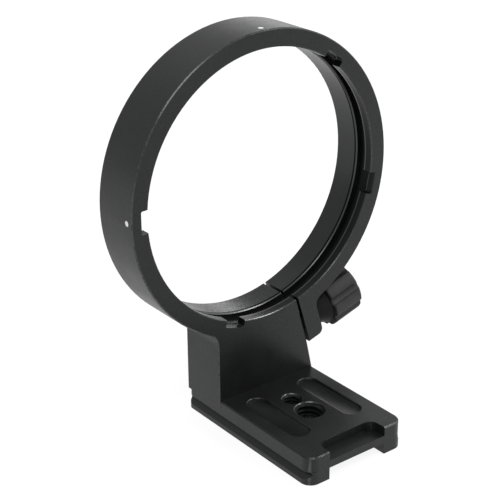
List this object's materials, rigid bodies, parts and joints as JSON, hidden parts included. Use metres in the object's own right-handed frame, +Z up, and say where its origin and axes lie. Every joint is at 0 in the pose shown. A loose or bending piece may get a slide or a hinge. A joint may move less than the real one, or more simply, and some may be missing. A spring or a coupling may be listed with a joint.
{
  "type": "lens tripod collar",
  "caption": "Split clamping ring for a long lens, on a block with a dovetail foot plate, tripod threads and a side clamp knob.",
  "frame": {"origin": "on the ring's axis, at the ring's mid-width", "axes": "+Y along the ring's axis, towards the face where the lens leaves; +Z up, away from the foot; +X towards the knob's side"},
  "size_m": [0.097, 0.0612, 0.1252],
  "materials": {
    "black_anodised": "black satin anodised over fine machining",
    "white_fill": "white enamel pressed into the recesses",
    "washer_nylon": "smooth black nylon",
    "knob_plastic": "fine moulded texture",
    "stud_steel": "zinc plated thread"
  },
  "bodies": {
    "collar": {"collar_body": "black_anodised", "index_dots": "white_fill"},
    "washer": {"knob_washer": "washer_nylon"},
    "knob": {"clamp_knob": "knob_plastic", "knob_stud": "stud_steel"}
  },
  "joints": [
    {"name": "knob_travel", "type": "slide", "parent": "collar", "child": "washer", "axis": [0.9578, 0, 0.2874], "range_m": [0, 0.0088]},
    {"name": "knob_turn", "type": "hinge", "parent": "washer", "child": "knob", "pos_m": [0.02272, 0, -0.05207], "axis": [0.9578, 0, 0.2874], "range_deg": [0, 3960]}
  ],
  "couplings": [
    {"joint": "knob_travel", "follows": "knob_turn", "m_per_rad": 0.00012732}
  ]
}
